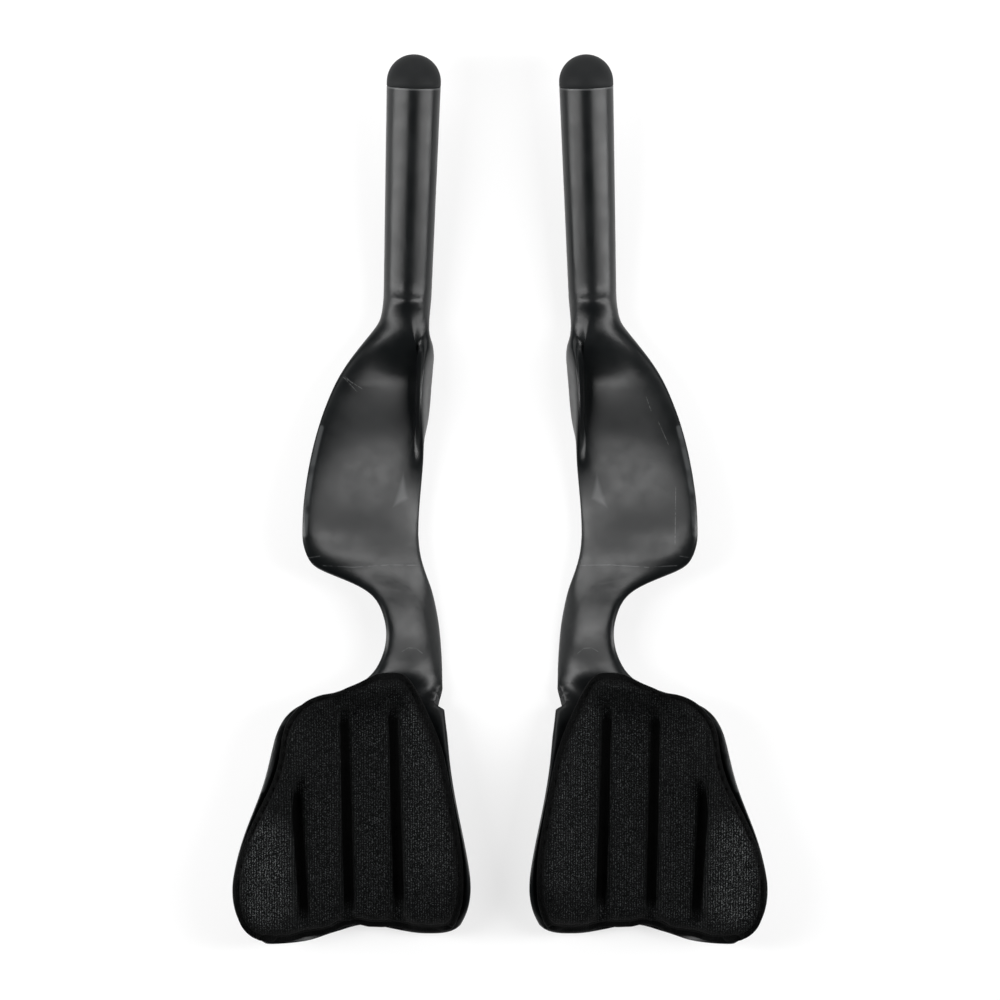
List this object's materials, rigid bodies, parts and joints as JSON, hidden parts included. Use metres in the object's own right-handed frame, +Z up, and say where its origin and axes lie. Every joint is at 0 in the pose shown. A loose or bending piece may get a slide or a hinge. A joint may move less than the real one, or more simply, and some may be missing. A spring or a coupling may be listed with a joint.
{
  "type": "time trial handlebar",
  "caption": "Mirrored pair of moulded forearm extensions for a time trial bicycle: round upturned grips, scooped wings, slim necks and padded elbow cups.",
  "frame": {"origin": "midway between the two halves and midway along them, on the surface they rest on", "axes": "+Y forwards to the grips, +Z up, +X to the rider's right"},
  "size_m": [0.2392, 0.3994, 0.042],
  "materials": {
    "carbon": "satin black moulded carbon composite",
    "plug_rubber": "satin black rubber",
    "pad_fabric": "black brushed knit over moulded foam",
    "hook_tape": "black hook tape",
    "insert_metal": "plain turned"
  },
  "bodies": {
    "root": {"left_carbon_moulding": "carbon", "left_grip_plug": "plug_rubber", "left_elbow_pad": "pad_fabric", "left_hook_strips": "hook_tape", "left_riser_inserts": "insert_metal", "right_carbon_moulding": "carbon", "right_grip_plug": "plug_rubber", "right_elbow_pad": "pad_fabric", "right_hook_strips": "hook_tape", "right_riser_inserts": "insert_metal"}
  },
  "joints": []
}
